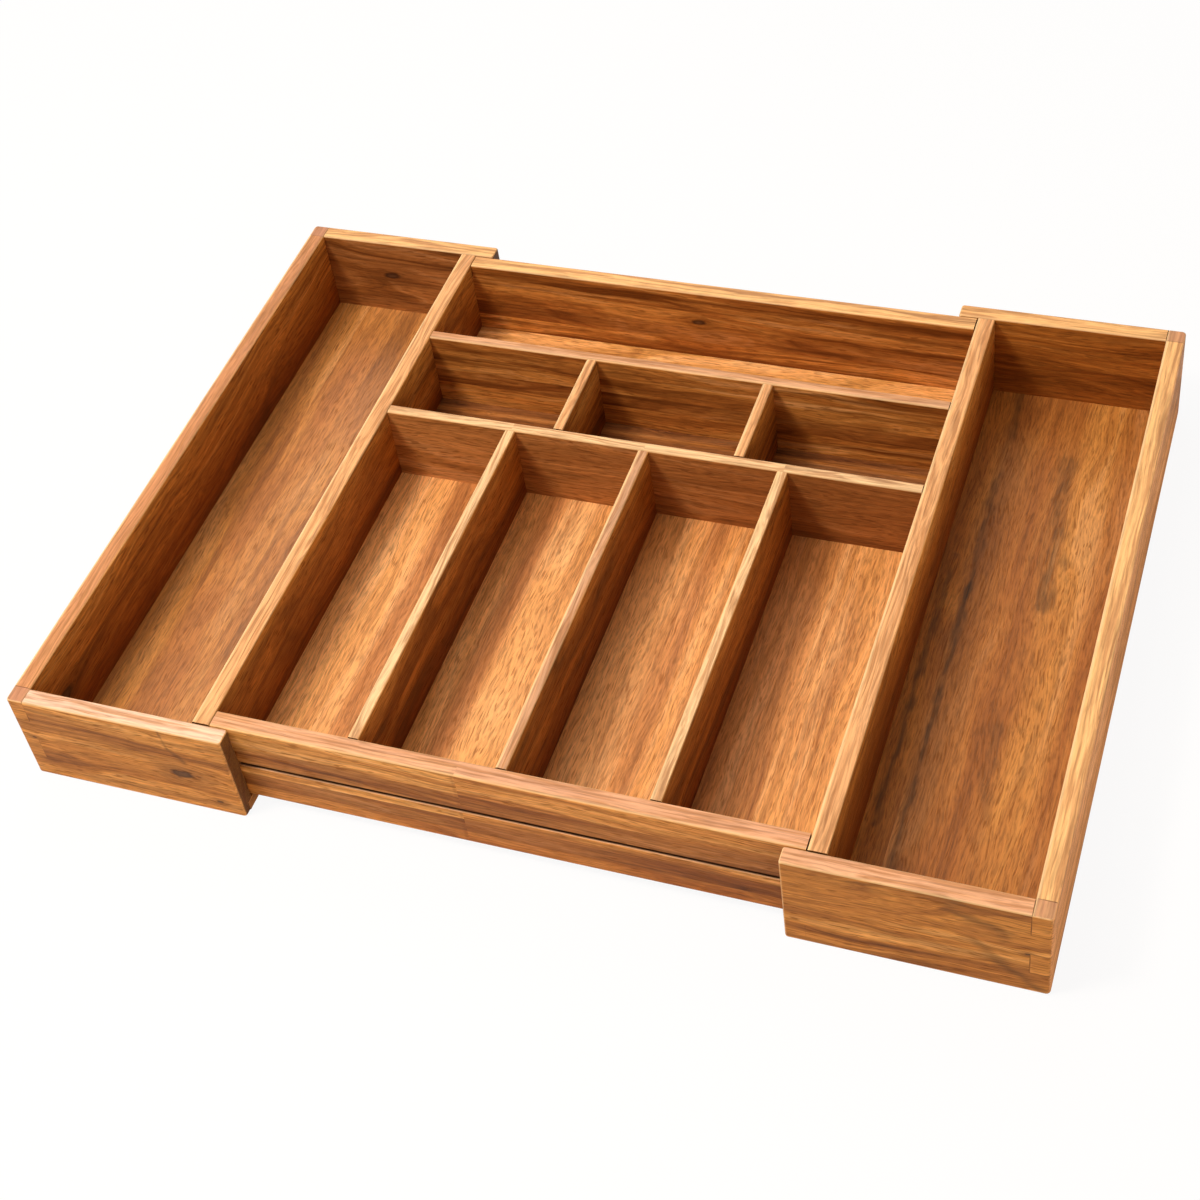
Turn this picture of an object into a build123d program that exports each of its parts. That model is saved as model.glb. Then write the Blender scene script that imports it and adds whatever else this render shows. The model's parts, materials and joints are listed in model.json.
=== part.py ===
# Expandable wooden cutlery tray.
# A fixed centre tray holds the dividers. A three-sided tray on each side slides in and out
# along it, on short guides that run in a groove in the centre tray's front and back walls.
# Axes: X across the width and along the slide, Y from front to back, Z up.
# Origin: centre of the footprint, on the surface that the tray stands on.
# It is drawn fully extended, with both side trays out against their stops.

import os

from build123d import *

os.makedirs("parts", exist_ok=True)

# Boards, in mm
tray_height = 65.0
outer_board = 10.5  # thickness of the side boards and of the rails
centre_wall = 10.5
cross_divider = 7.0
long_divider = 6.5
short_divider = 6.5

# Clear sizes of the compartments
side_opening = 102.0  # width of an open side compartment
centre_opening = 334.0  # between the centre tray's left and right walls
cutlery_length = 243.0
small_length = 64.0
rear_length = 66.0
cutlery_count = 4
small_count = 3

# Floors
side_floor = 6.5
centre_floor = 5.5
floor_rabbet = 5.0  # how far each floor reaches into the boards around it

# Slide
slide_gap = 0.5  # between the rails and the centre tray
floor_gap = 0.5  # between a side floor and the centre tray above it
closing_gap = 1.0  # left between side board and centre tray when pushed in
ear_length = 12.0  # rail past the inner face of the centre tray's side wall
groove_depth = 4.0
groove_height = 3.2
groove_drop = 30.2  # top edge of the wall to the middle of the groove
guide_clearance = 0.3  # above, below and at the bottom of the groove
guide_seat = 5.0  # how far a guide is let into its rail
guide_setback = 1.0  # guide back from the rail's end
stop_gap = 0.2  # guide to the side wall that stops it

# Corner and housing joints
finger_count = 4  # box joint fingers in the height of a corner
tongue_length = 5.0  # on the ends of the centre front and back walls
tongue_thickness = 5.5
housing_depth = 2.0  # for the ends of the dividers
housing_clearance = 0.2
wall_shoulder_gap = 0.5  # seam beside the centre front and back walls
divider_shoulder_gap = 0.2
stopped_height = 10.0  # the joints stop this far below the top edge

# Softened edges
corner_radius = 2.3
end_radius = 1.8
edge_radius = 1.2

# Places that follow from these sizes, measured from the middle or from the table
tray_depth = (
    cutlery_length + small_length + rear_length
    + 2 * (cross_divider + centre_wall + slide_gap + outer_board)
)
front = -tray_depth / 2
back = tray_depth / 2
opening_half = centre_opening / 2
centre_half = opening_half + centre_wall
board_inner = centre_half + side_opening
tray_half = board_inner + outer_board
ear_end = opening_half - ear_length
centre_bottom = side_floor + floor_gap
centre_floor_top = centre_bottom + centre_floor
joint_top = tray_height - stopped_height
groove_middle = tray_height - groove_drop
finger_height = tray_height / finger_count

wall_outer = tray_depth / 2 - outer_board - slide_gap
wall_inner = wall_outer - centre_wall
front_cross = (-wall_inner + cutlery_length, -wall_inner + cutlery_length + cross_divider)
rear_cross = (front_cross[1] + small_length, front_cross[1] + small_length + cross_divider)
cutlery_width = (centre_opening - (cutlery_count - 1) * long_divider) / cutlery_count
small_width = (centre_opening - (small_count - 1) * short_divider) / small_count
travel = side_opening - closing_gap

sides = {"left": -1, "right": 1}
ends = {"front": -1, "back": 1}


def span(sign, inner, outer):
    """The limits, low one first, of a stretch from inner to outer on one side of the middle."""
    return tuple(sorted((sign * inner, sign * outer)))


def block(x_span, y_span, z_span, mode=Mode.ADD):
    """Add to the board in hand, or cut from it, the block between three pairs of limits."""
    with BuildSketch(Plane.XY.offset(z_span[0])) as footprint:
        with Locations(((x_span[0] + x_span[1]) / 2, (y_span[0] + y_span[1]) / 2)):
            Rectangle(x_span[1] - x_span[0], y_span[1] - y_span[0])
    extrude(footprint.sketch, amount=z_span[1] - z_span[0], mode=mode)


def cut(x_span, y_span, z_span):
    """Cut the block between three pairs of limits from the board in hand."""
    block(x_span, y_span, z_span, mode=Mode.SUBTRACT)


def soften_top_and_bottom(piece):
    """Round the edges around the top and the bottom of the board in hand."""
    levels = piece.faces().sort_by(Axis.Z)
    fillet(levels[0].edges() + levels[-1].edges(), radius=edge_radius)


def soften_long_edges(piece, axis, levels):
    """Round the long edges of the board in hand at these levels, 0 the lowest, -1 the top."""
    rows = piece.edges().filter_by(axis).group_by(Axis.Z)
    fillet([edge for level in levels for edge in rows[level]], radius=edge_radius)


def finger_spans(first):
    """Heights of every second finger of a corner, counted down from the top."""
    tops = [tray_height - number * finger_height for number in range(first, finger_count, 2)]
    return [(top - finger_height, top) for top in tops]


def finish(piece, name):
    """Name a finished piece and write it out."""
    piece.label = name
    export_step(piece, f"parts/{name}.step")
    print(f"{name}: {piece.volume / 1000:.1f} cm3")


# Side trays: side board, two rails, floor panel and two guides
def build_side_board(name, side):
    """Outer board. Its first and third fingers show on the front and the back of the tray."""
    with BuildPart() as board:
        block(span(side, board_inner, tray_half), (front, back), (0, tray_height))
        uprights = board.edges().filter_by(Axis.Z)
        fillet(uprights.group_by(Axis.X)[-1 if side > 0 else 0], radius=corner_radius)
        soften_top_and_bottom(board)
        for finger in finger_spans(1):
            for end in ends.values():
                corner = span(end, tray_depth / 2 - outer_board, tray_depth / 2)
                cut(span(side, board_inner, tray_half), corner, finger)
        rabbet_half = tray_depth / 2 - outer_board + floor_rabbet
        cut(
            span(side, board_inner, board_inner + floor_rabbet),
            (-rabbet_half, rabbet_half),
            (0, side_floor),
        )
    finish(board.part, name)


def build_rail(name, side, end):
    """Front or back rail. It passes the centre tray's side wall by a short ear, and its inner
    face holds the guide."""
    with BuildPart() as rail:
        thickness = span(end, tray_depth / 2 - outer_board, tray_depth / 2)
        block(span(side, ear_end, tray_half), thickness, (0, tray_height))
        uprights = rail.edges().filter_by(Axis.Z)
        corner_edges = uprights.group_by(Axis.X)[-1 if side > 0 else 0]
        ear_edges = uprights.group_by(Axis.X)[0 if side > 0 else -1]
        fillet(corner_edges.sort_by(Axis.Y)[-1 if end > 0 else 0], radius=corner_radius)
        fillet(ear_edges, radius=end_radius)
        soften_top_and_bottom(rail)
        for finger in finger_spans(0):
            cut(span(side, board_inner, tray_half), thickness, finger)
        rabbet = span(
            end, tray_depth / 2 - outer_board, tray_depth / 2 - outer_board + floor_rabbet
        )
        cut(span(side, ear_end, board_inner + floor_rabbet), rabbet, (0, side_floor))
        cut(*guide_limits(side, end, seat_only=True))
    finish(rail.part, name)


def guide_limits(side, end, seat_only=False):
    """Limits of a guide, or only of the seat that is cut for it in the rail."""
    rail_face = tray_depth / 2 - outer_board
    tip = rail_face if seat_only else wall_outer - groove_depth + guide_clearance
    half = groove_height / 2 - guide_clearance
    return (
        span(side, ear_end + guide_setback, opening_half - stop_gap),
        span(end, tip, rail_face + guide_seat),
        (groove_middle - half, groove_middle + half),
    )


def build_guide(name, side, end):
    """Short slip let into the rail. It runs in the centre tray's groove, and its outer end
    meets the centre tray's side wall as the stop."""
    with BuildPart() as guide:
        block(*guide_limits(side, end))
    finish(guide.part, name)


def build_side_floor(name, side):
    """Floor panel, let into the side board and both rails from below. It slides under the
    centre tray."""
    half = tray_depth / 2 - outer_board + floor_rabbet
    with BuildPart() as panel:
        block(span(side, ear_end, board_inner + floor_rabbet), (-half, half), (0, side_floor))
    finish(panel.part, name)


for side_name, side_sign in sides.items():
    build_side_board(f"{side_name}_side_board", side_sign)
    build_side_floor(f"{side_name}_floor_panel", side_sign)
    for end_name, end_sign in ends.items():
        build_rail(f"{side_name}_{end_name}_rail", side_sign, end_sign)
        build_guide(f"{side_name}_{end_name}_guide", side_sign, end_sign)


# Centre tray walls
def floor_recess():
    """Cut the space that the two centre floor panels take from the wall in hand."""
    x_half = opening_half + floor_rabbet
    y_half = wall_inner + floor_rabbet
    cut((-x_half, x_half), (-y_half, y_half), (centre_bottom, centre_floor_top))


def build_centre_side_wall(name, side):
    """Left or right wall. It runs from rail to rail and houses the other walls and dividers."""
    with BuildPart() as wall:
        block(
            span(side, opening_half, centre_half),
            (-wall_outer, wall_outer),
            (centre_bottom, tray_height),
        )
        soften_long_edges(wall, Axis.Y, (0, -1))
        floor_recess()
        for end in ends.values():
            cut(
                span(side, opening_half, opening_half + tongue_length + housing_clearance),
                span(end, wall_inner, wall_inner + tongue_thickness),
                (centre_floor_top, joint_top),
            )
        for divider in (front_cross, rear_cross):
            cut(
                span(side, opening_half, opening_half + housing_depth),
                divider,
                (centre_floor_top, joint_top),
            )
    finish(wall.part, name)


def build_centre_end_wall(name, end):
    """Front or back wall, held between the side walls by a stopped tongue at each end. Its
    outer face has the groove that the guides run in."""
    with BuildPart() as wall:
        shoulder = opening_half - wall_shoulder_gap
        block((-shoulder, shoulder), span(end, wall_inner, wall_outer), (centre_bottom, tray_height))
        soften_long_edges(wall, Axis.X, (0, -1))
        tongue_end = opening_half + tongue_length
        block(
            (-tongue_end, tongue_end),
            span(end, wall_inner, wall_inner + tongue_thickness),
            (centre_floor_top, joint_top),
        )
        floor_recess()
        cut(
            (-shoulder, shoulder),
            span(end, wall_outer - groove_depth, wall_outer),
            (groove_middle - groove_height / 2, groove_middle + groove_height / 2),
        )
        if end < 0:
            for middle in long_divider_middles():
                cut(
                    (middle - long_divider / 2, middle + long_divider / 2),
                    span(end, wall_inner, wall_inner + housing_depth),
                    (centre_floor_top, joint_top),
                )
    finish(wall.part, name)


# Dividers, evenly spaced across the centre tray
def divider_middles(count, clear_width, thickness):
    """Middles of the dividers that part the centre tray into this many equal compartments."""
    pitch = clear_width + thickness
    return [(number - count / 2) * pitch for number in range(1, count)]


def long_divider_middles():
    """Middles of the dividers between the cutlery compartments."""
    return divider_middles(cutlery_count, cutlery_width, long_divider)


def short_divider_middles():
    """Middles of the dividers between the small compartments."""
    return divider_middles(small_count, small_width, short_divider)


def build_cross_divider(name, limits):
    """Divider from side wall to side wall, with stopped housings for the dividers it meets."""
    meets_long = limits == front_cross
    with BuildPart() as divider:
        shoulder = opening_half - divider_shoulder_gap
        tongue_end = opening_half + housing_depth - housing_clearance
        block((-shoulder, shoulder), limits, (centre_floor_top, tray_height))
        soften_long_edges(divider, Axis.X, (-1,))
        block((-tongue_end, tongue_end), limits, (centre_floor_top, joint_top))
        if meets_long:
            for middle in long_divider_middles():
                cut(
                    (middle - long_divider / 2, middle + long_divider / 2),
                    (limits[0], limits[0] + housing_depth),
                    (centre_floor_top, joint_top),
                )
        small_side = (limits[1] - housing_depth, limits[1])
        if not meets_long:
            small_side = (limits[0], limits[0] + housing_depth)
        for middle in short_divider_middles():
            cut(
                (middle - short_divider / 2, middle + short_divider / 2),
                small_side,
                (centre_floor_top, joint_top),
            )
    finish(divider.part, name)


def build_lengthwise_divider(name, middle, thickness, y_from, y_to):
    """Divider that runs from front to back, with a stopped tongue at each end."""
    faces = (middle - thickness / 2, middle + thickness / 2)
    tongue = housing_depth - housing_clearance
    with BuildPart() as divider:
        block(
            faces,
            (y_from + divider_shoulder_gap, y_to - divider_shoulder_gap),
            (centre_floor_top, tray_height),
        )
        soften_long_edges(divider, Axis.Y, (-1,))
        block(faces, (y_from - tongue, y_to + tongue), (centre_floor_top, joint_top))
    finish(divider.part, name)


for side_name, side_sign in sides.items():
    build_centre_side_wall(f"centre_{side_name}_wall", side_sign)
for end_name, end_sign in ends.items():
    build_centre_end_wall(f"centre_{end_name}_wall", end_sign)
build_cross_divider("front_cross_divider", front_cross)
build_cross_divider("rear_cross_divider", rear_cross)
for number, middle in enumerate(long_divider_middles(), start=1):
    build_lengthwise_divider(
        f"long_divider_{number}", middle, long_divider, -wall_inner, front_cross[0]
    )
for number, middle in enumerate(short_divider_middles(), start=1):
    build_lengthwise_divider(
        f"short_divider_{number}", middle, short_divider, front_cross[1], rear_cross[0]
    )


# Centre floor: two panels that meet under the front cross divider
def build_centre_floor(name, y_from, y_to):
    """Floor panel, let into the walls around it from below."""
    half = opening_half + floor_rabbet
    with BuildPart() as panel:
        block((-half, half), (y_from, y_to), (centre_bottom, centre_floor_top))
    finish(panel.part, name)


floor_joint = (front_cross[0] + front_cross[1]) / 2
build_centre_floor("cutlery_floor_panel", -wall_inner - floor_rabbet, floor_joint)
build_centre_floor("rear_floor_panel", floor_joint, wall_inner + floor_rabbet)

print(f"open {2 * tray_half:.1f} x {tray_depth:.1f} x {tray_height:.1f} mm")
print(f"travel of each side tray {travel:.1f} mm, closed width {2 * (tray_half - travel):.1f} mm")
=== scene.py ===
# %% [markdown]
# # An expandable cutlery tray in oiled hardwood
#
# The tray is a drawer insert made of thin boards. A centre tray holds the cutlery, and a side tray
# at each end slides outwards until the whole fills the drawer. Every board already has its true
# shape and place, so this lesson is about what makes boards look like wood: how the timber was
# sawn, how the strips were glued, how the edges were sanded, and how light falls into the
# compartments.

# %% Load the boards
import json
import math

import bpy
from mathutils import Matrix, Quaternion, Vector

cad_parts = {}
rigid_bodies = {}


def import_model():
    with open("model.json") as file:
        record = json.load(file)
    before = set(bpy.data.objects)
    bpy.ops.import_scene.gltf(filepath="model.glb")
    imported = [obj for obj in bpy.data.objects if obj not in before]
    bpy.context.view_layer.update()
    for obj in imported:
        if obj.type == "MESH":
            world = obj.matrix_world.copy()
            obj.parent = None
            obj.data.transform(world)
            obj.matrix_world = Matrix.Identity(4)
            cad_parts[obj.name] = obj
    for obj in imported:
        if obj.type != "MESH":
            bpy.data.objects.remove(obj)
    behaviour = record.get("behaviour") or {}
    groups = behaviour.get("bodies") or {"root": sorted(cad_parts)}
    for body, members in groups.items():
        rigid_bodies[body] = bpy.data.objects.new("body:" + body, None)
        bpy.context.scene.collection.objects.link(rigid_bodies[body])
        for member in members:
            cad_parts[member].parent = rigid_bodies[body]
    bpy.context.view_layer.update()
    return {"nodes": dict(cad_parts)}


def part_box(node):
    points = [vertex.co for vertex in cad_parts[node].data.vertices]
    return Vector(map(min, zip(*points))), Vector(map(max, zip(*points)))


for leftover in list(bpy.data.objects):
    bpy.data.objects.remove(leftover)

MM = 1000

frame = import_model()
boards = frame["nodes"]

# %% [markdown]
# ## The camera
#
# The tray is seen from the front right and from above, a little more than a metre away, with the
# camera rolled so that the tray runs downhill to the right. A camera can be placed by typing its
# rotation, but the numbers then say little. Here it looks at an aim point, from an azimuth, an
# elevation and a distance, and is rolled last, which is how a photographer would say it.

# %% Camera
AIM = Vector((-0.063, 0.059, 0.0))
AZIMUTH = math.radians(26.6)
ELEVATION = math.radians(44.5)
DISTANCE = 1.348
ROLL = math.radians(-10.2)
LENS = 64.6
SENSOR = 36
SHIFT = (0.031, -0.083)

away = Vector((
    math.sin(AZIMUTH) * math.cos(ELEVATION),
    -math.cos(AZIMUTH) * math.cos(ELEVATION),
    math.sin(ELEVATION),
))
camera_data = bpy.data.cameras.new("camera")
camera_data.lens = LENS
camera_data.sensor_width = SENSOR
camera_data.shift_x, camera_data.shift_y = SHIFT
camera = bpy.data.objects.new("camera", camera_data)
camera.rotation_mode = "QUATERNION"
camera.rotation_quaternion = away.to_track_quat("Z", "Y") @ Quaternion((0, 0, 1), ROLL)
camera.location = AIM + DISTANCE * away
scene = bpy.context.scene
scene.collection.objects.link(camera)
scene.camera = camera
print("Camera at", [round(value, 3) for value in camera.location])

# %% [markdown]
# ## Colours and nodes
#
# Colours are easiest to pick as the hex values of a paint program, but those are bent for the
# eye, and light has to be added up in straight values. One function turns the first into the
# second. A second function adds a node, sets its options and fills its sockets, so that a
# material further down reads like a recipe.

# %% Colour and node helpers
def linear(hex_text):
    """The straight RGBA values of an sRGB colour such as #D49961."""
    channels = [int(hex_text[place:place + 2], 16) / 255 for place in (1, 3, 5)]
    straight = [c / 12.92 if c <= 0.04045 else ((c + 0.055) / 1.055) ** 2.4 for c in channels]
    return (*straight, 1.0)


def add(tree, kind, inputs=None, stops=None, steps=False, **settings):
    """Adds one node: options first, then ramp stops, then a value or a link for each socket."""
    node = tree.nodes.new("ShaderNode" + kind)
    for option, value in settings.items():
        setattr(node, option, value)
    if stops:
        node.color_ramp.interpolation = "CONSTANT" if steps else "LINEAR"
    for number, (position, colour) in enumerate(stops or ()):
        ramp = node.color_ramp.elements
        stop = ramp[number] if number < len(ramp) else ramp.new(position)
        stop.position = position
        stop.color = colour
    for name, value in (inputs or {}).items():
        socket = next(s for s in node.inputs if s.enabled and name in (s.name, s.identifier))
        if isinstance(value, bpy.types.Node):
            value = next(s for s in value.outputs if s.enabled)
        if isinstance(value, bpy.types.NodeSocket):
            tree.links.new(value, socket)
        else:
            socket.default_value = value
    return node


print("Tan #C98746 is", [round(value, 3) for value in linear("#C98746")[:3]])

# %% [markdown]
# ## Floor, background and light
#
# The tray stands on a pale floor in a bright studio, where the background is pure white and the
# shadow under the tray is faint. A brighter lamp would wash out the wood, so the white comes from
# what the camera sees, not from more light. Seen directly, in a reflection or through glass, the
# world is plain white. The floor is mostly white where the camera sees it directly, with a share
# of its true shading left so that it keeps the shadow. The light that fills the shadows is warm,
# as it is in a room full of wood.

# %% World
WORLD_STRENGTH = 0.32
WHITE_STRENGTH = 1.0
ROOM_TINT = "#FFE6CC"

scene.view_settings.view_transform = "Standard"
world = bpy.data.worlds.new("studio")
world.use_nodes = True
scene.world = world
tree = world.node_tree
tree.nodes.clear()
rays = add(tree, "LightPath")
seen = add(tree, "Math", {"Value": rays.outputs["Is Camera Ray"],
                          "Value_001": rays.outputs["Is Glossy Ray"]}, operation="MAXIMUM")
seen = add(tree, "Math", {"Value": seen, "Value_001": rays.outputs["Is Transmission Ray"]},
           operation="MAXIMUM")
strength = add(tree, "MapRange", {"Value": seen, "To Min": WORLD_STRENGTH,
                                  "To Max": WHITE_STRENGTH})
colour = add(tree, "Mix", {"Factor": seen, "A": linear(ROOM_TINT), "B": linear("#FFFFFF")},
             data_type="RGBA")
sky = add(tree, "Background", {"Color": colour, "Strength": strength})
add(tree, "OutputWorld", {"Surface": sky})
print("World lights the tray at", WORLD_STRENGTH, "and shows as", WHITE_STRENGTH)

# %% Floor
FLOOR_SIZE = 6.0
FLOOR_DROP = 0.0003
WHITE_SHARE = 0.92


def matt_white_paper():
    """Matt white background paper, which the camera sees as nearly plain white."""
    material = bpy.data.materials.new("matt_white_paper")
    material.use_nodes = True
    nodes = material.node_tree
    nodes.nodes.clear()
    paper = add(nodes, "BsdfDiffuse", {"Color": linear("#F4F4F4")})
    glow = add(nodes, "Emission", {"Color": linear("#FFFFFF"), "Strength": WHITE_STRENGTH})
    eye = add(nodes, "LightPath")
    share = add(nodes, "Math", {"Value": eye.outputs["Is Camera Ray"],
                                "Value_001": WHITE_SHARE}, operation="MULTIPLY")
    mixed = add(nodes, "MixShader", {"Fac": share, "Shader": paper, "Shader_001": glow})
    add(nodes, "OutputMaterial", {"Surface": mixed})
    return material


bpy.ops.mesh.primitive_plane_add(size=FLOOR_SIZE)
floor = bpy.context.object
floor.name = "floor"
for corner in floor.data.vertices:
    corner.co.z -= FLOOR_DROP
floor.data.materials.append(matt_white_paper())
print("Floor lies", MM * FLOOR_DROP, "mm below the tray")

# %% [markdown]
# The left walls of the compartments are dark, their shadows slant down the cross walls towards
# the right, and the tops of the boards shine. So the main lamp hangs high on the left and a
# little in front, as a soft box wide enough to blur those shadows. A second, larger lamp hangs
# overhead, just left of the middle: it reaches the shaded strips of the floors but not the left
# walls. A third, weak one stands behind the tray, where its mirror image falls on everything that
# lies flat. The last stands low on the right. It lights the outer face there and, over the
# boards' tops, only the upper edge of the walls inside.

# %% Lamps
LAMPS = {
    "key": dict(towards=(-0.45, -0.40, 1.0), distance=2.2, size=0.45, watts=33, tint="#FFF3E4"),
    "top": dict(towards=(-0.16, -0.10, 1.0), distance=2.4, size=0.8, watts=14, tint="#FFF3E4"),
    "sheen": dict(towards=(-0.34, 0.66, 0.72), distance=2.6, size=1.6, watts=12, tint="#FFFFFF"),
    "side": dict(towards=(1.0, -0.25, 0.11), distance=2.4, size=0.45, watts=13, tint="#FFF3E4"),
}


def add_lamp(name, towards, distance, size, watts, tint):
    """A square soft box that shines at the middle of the tray."""
    lamp = bpy.data.lights.new(name, "AREA")
    lamp.shape = "SQUARE"
    lamp.size = size
    lamp.energy = watts
    lamp.color = linear(tint)[:3]
    holder = bpy.data.objects.new(name, lamp)
    direction = Vector(towards).normalized()
    holder.location = distance * direction
    holder.rotation_mode = "QUATERNION"
    holder.rotation_quaternion = direction.to_track_quat("Z", "Y")
    scene.collection.objects.link(holder)
    print("Lamp", name, "at", [round(value, 2) for value in holder.location])


for lamp_name, lamp_facts in LAMPS.items():
    add_lamp(lamp_name, **lamp_facts)

# %% [markdown]
# ## How the wood is made
#
# The boards are acacia, planed, glued up from strips and oiled. A picture of wood wrapped round a
# board gives itself away at the corners, where the lines of two faces don't meet. A real board is
# cut from a trunk, so the pattern here is a solid one: growth rings round the heart of the tree,
# which the board's faces cut through. A board whose heart lay below its middle is flat-sawn and
# shows long arches, and one whose heart lay far to the side shows straight lines.
#
# ### Where a point lies in the board
#
# Every pattern is measured in millimetres, in a space whose X runs with the grain, Y across the
# board and Z up, from the board's own centre. A board whose grain runs from back to front is
# turned, so that its Y still runs from left to right. Object coordinates are used, because they
# stay with the board when its tray slides.

# %% Board space
def board_space(nodes, node, grain):
    """The texture coordinates, the board space, and the board's size in that space."""
    low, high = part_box(node)
    centre = MM * (low + high) / 2
    size = MM * (high - low)
    place = add(nodes, "TexCoord")
    turned = grain == "Y"
    local = add(nodes, "Mapping", {
        "Vector": place.outputs["Object"],
        "Scale": (MM, MM, MM),
        "Rotation": (0, 0, math.pi / 2 if turned else 0),
        "Location": (centre.y, -centre.x, -centre.z) if turned else -centre,
    }, vector_type="POINT")
    return place, local, {"X": size.y if turned else size.x, "Y": size.x if turned else size.y,
                          "Z": size.z}


def from_middle(nodes, place):
    """How far a point lies from the tray's middle along each axis, in millimetres."""
    spot = add(nodes, "VectorMath", {"Vector": place.outputs["Object"], "Scale": MM},
               operation="SCALE")
    spot = add(nodes, "VectorMath", {"Vector": spot}, operation="ABSOLUTE")
    return add(nodes, "SeparateXYZ", {"Vector": spot})


def stretched(nodes, vector, cell):
    """A vector divided by the size of a pattern's cell, in millimetres."""
    return add(nodes, "VectorMath", {"Vector": vector, "Vector_001": [1 / side for side in cell]},
               operation="MULTIPLY")


# %% [markdown]
# ### Glued strips
#
# A panel wider than the tree's good timber is glued up from strips. Each strip came from another
# place in the trunk and drank the oil a little differently. One ramp gives each strip its tint,
# and another, with steps, gives it a number, from which white noise picks its place. On a wall
# the strips meet at a hairline of glue, which a third ramp draws. On a floor the tint changes
# softly over a few millimetres, because those strips were matched before they were glued, and
# glue darkens only the far sawn edge of the last one.

# %% Strips
STRIP_JUMP = (1500, 60, 30)
GLUE_HALF = 0.35
GLUE = (1.0, 1.0, 1.0, 1.0)
NO_GLUE = (0.0, 0.0, 0.0, 1.0)


def glued_strips(nodes, local, size, cut_place, axis, edges, soft=0):
    """The tint of each strip, the hairlines between them and each strip's place in the trunk.
    Edges are shares of the board's size, each with the tint of the strip that starts there.
    Soft is the width over which a tint changes, each side of an edge without a hairline."""
    split = add(nodes, "SeparateXYZ", {"Vector": local})
    share = add(nodes, "MapRange", {"Value": split.outputs[axis], "From Min": -size[axis] / 2,
                                    "From Max": size[axis] / 2})
    half = GLUE_HALF / size[axis]
    reach = max(soft, GLUE_HALF) / size[axis]
    tints = [(0.0, linear(edges[0][1]))]
    for (edge, colour), (_, colour_before) in zip(edges[1:], edges):
        tints += [(edge - reach, linear(colour_before)), (edge + reach, linear(colour))]
    tint = add(nodes, "ValToRGB", {"Fac": share}, stops=tints)
    numbers = [(edge, (step / len(edges),) * 3 + (1,)) for step, (edge, _) in enumerate(edges)]
    number = add(nodes, "ValToRGB", {"Fac": share}, stops=numbers, steps=True)
    lines = [(0.0, NO_GLUE)]
    if soft:
        lines += [(1.0, GLUE)]
    else:
        for edge, _ in edges[1:]:
            lines += [(edge - half, NO_GLUE), (edge, GLUE), (edge + half, NO_GLUE)]
    glue = add(nodes, "ValToRGB", {"Fac": share}, stops=lines, steps=bool(soft))
    pick = add(nodes, "TexWhiteNoise", {"W": number}, noise_dimensions="1D")
    jump = add(nodes, "VectorMath", {"Vector": pick.outputs["Color"], "Vector_001": STRIP_JUMP,
                                     "Vector_002": cut_place}, operation="MULTIPLY_ADD")
    return tint, glue, jump


# %% [markdown]
# ### Wandering grain and knots
#
# No trunk is straight. Two noises push the rings sideways: a wide one for the sway of the trunk
# and a fine one for the ripple that makes the grain look combed. Where a branch grew, the grain
# flows round it. Near a knot's centre the space is squeezed, which makes the lines part.

# %% Sway, ripple and knots
SWAY = (120, 26, 26)
RIPPLE = (34, 8, 8)
RIPPLE_DEPTH = 1.0
KNOT_STRETCH = 0.45
KNOT_SQUEEZE = -0.85
KNOT_FADE = 2.0
KNOT_WOBBLE = (7, 3.5, 3.5)
KNOT_WOBBLE_SHARE = 0.3


def pushed(nodes, vector, cell, depth):
    """A vector pushed across the grain by up to about depth, in millimetres."""
    noise = add(nodes, "TexNoise", {"Vector": stretched(nodes, vector, cell), "Scale": 1.0,
                                    "Detail": 1.0})
    centred = add(nodes, "VectorMath", {"Vector": noise.outputs["Color"],
                                        "Vector_001": (0.5, 0.5, 0.5)}, operation="SUBTRACT")
    return add(nodes, "VectorMath", {"Vector": centred, "Vector_001": (0, 2 * depth, 2 * depth),
                                     "Vector_002": vector}, operation="MULTIPLY_ADD")


def knot_space(nodes, local, vector, at, reach):
    """A vector with the grain parted round a knot, and the distance from the knot in reaches."""
    uneven = pushed(nodes, local, KNOT_WOBBLE, KNOT_WOBBLE_SHARE * reach)
    gap = add(nodes, "VectorMath", {"Vector": uneven, "Vector_001": at}, operation="SUBTRACT")
    gap = add(nodes, "VectorMath", {"Vector": gap, "Vector_001": (KNOT_STRETCH, 1, 1)},
              operation="MULTIPLY")
    length = add(nodes, "VectorMath", {"Vector": gap}, operation="LENGTH")
    distance = add(nodes, "Math", {"Value": length.outputs["Value"], "Value_001": reach},
                   operation="DIVIDE")
    near = add(nodes, "MapRange", {"Value": distance, "From Min": 0.0, "From Max": KNOT_FADE,
                                   "To Min": KNOT_SQUEEZE, "To Max": 0.0},
               interpolation_type="SMOOTHSTEP")
    squeeze = add(nodes, "VectorMath", {"Vector": gap, "Scale": near}, operation="SCALE")
    squeeze = add(nodes, "VectorMath", {"Vector": squeeze, "Vector_001": (0, 1, 1),
                                        "Vector_002": vector}, operation="MULTIPLY_ADD")
    return squeeze, distance


# %% [markdown]
# Around a knot and in old heartwood, dark stains cross the grain, and where two lengths of timber
# meet end to end, a thin dark line does. Each is drawn along a straight stretch between two
# points on the board's face: the distance from that stretch decides how dark the wood is. One
# noise bends the stretch and another frays it, both by so many times its width.

# %% Stains across the grain
BEND = (22, 9, 9)
BEND_SHARE = 1.2
FRAY = (14, 3, 3)
FRAY_SHARE = 1.6
STAIN_FADE = (0.7, 1.9)
STAIN_TONE = "#4A3216"


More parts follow.
